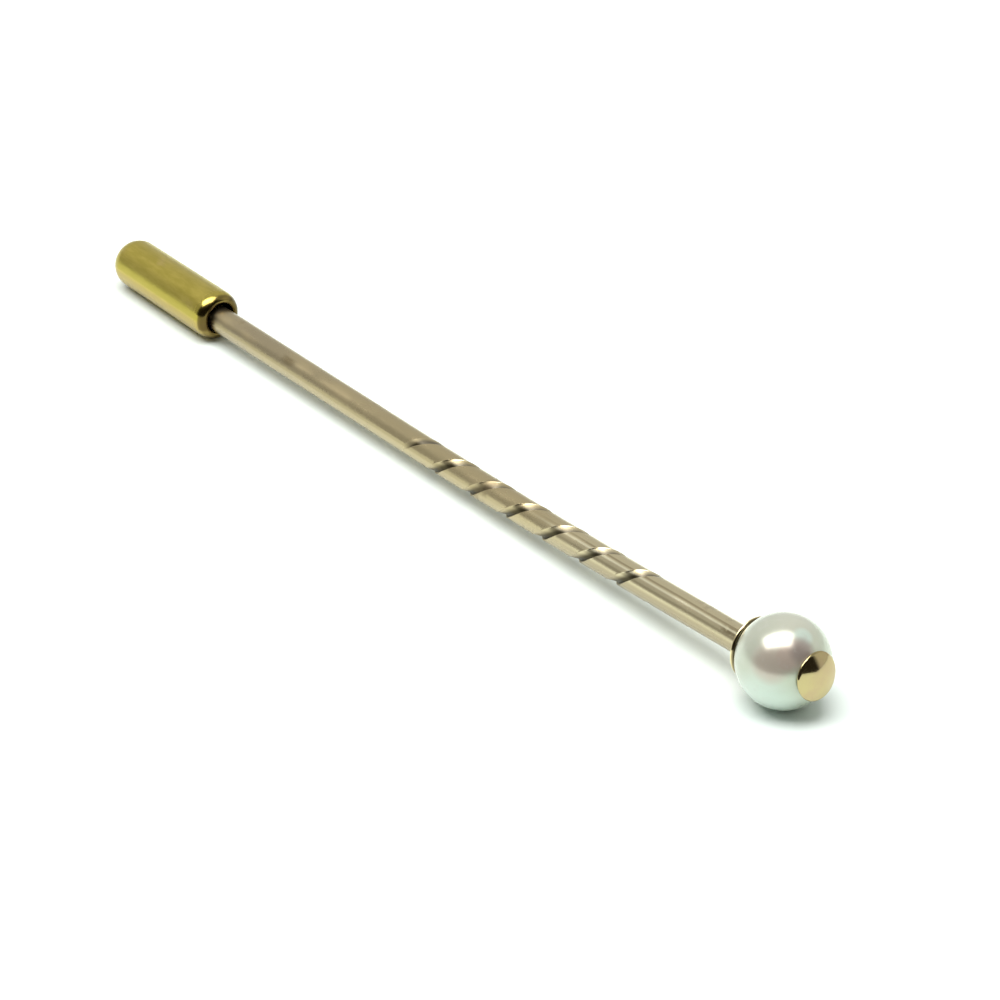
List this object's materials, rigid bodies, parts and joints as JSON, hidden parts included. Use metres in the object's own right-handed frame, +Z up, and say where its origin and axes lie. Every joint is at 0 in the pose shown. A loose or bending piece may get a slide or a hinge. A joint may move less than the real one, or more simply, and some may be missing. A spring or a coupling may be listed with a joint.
{
  "type": "stick pin",
  "caption": "Stick pin with a white pearl in a gold cup on a spiral-fluted wire stem, a domed gold end cap and a slide-off tubular point guard.",
  "frame": {"origin": "middle of the pin's bounding box, on the surface that it lies on", "axes": "+X along the pin towards the pearl, +Z up from the surface, +Y to the side that the pin's head leans to"},
  "size_m": [0.0564, 0.0046, 0.0046],
  "materials": {
    "rose_gold": "drawn and polished low-carat rose gold, lightly tarnished",
    "pearl": "white nacre with a soft lustre",
    "yellow_gold": "polished gold",
    "gilt_brass": "worn gilt, satin"
  },
  "bodies": {
    "pin": {"pin_stem": "rose_gold", "bead": "pearl", "end_cap": "yellow_gold"},
    "guard": {"point_guard": "gilt_brass"}
  },
  "joints": [
    {"name": "guard_slide", "type": "slide", "parent": "pin", "child": "guard", "axis": [-0.9999, 0.0131, 0], "range_m": [0, 0.03]}
  ]
}
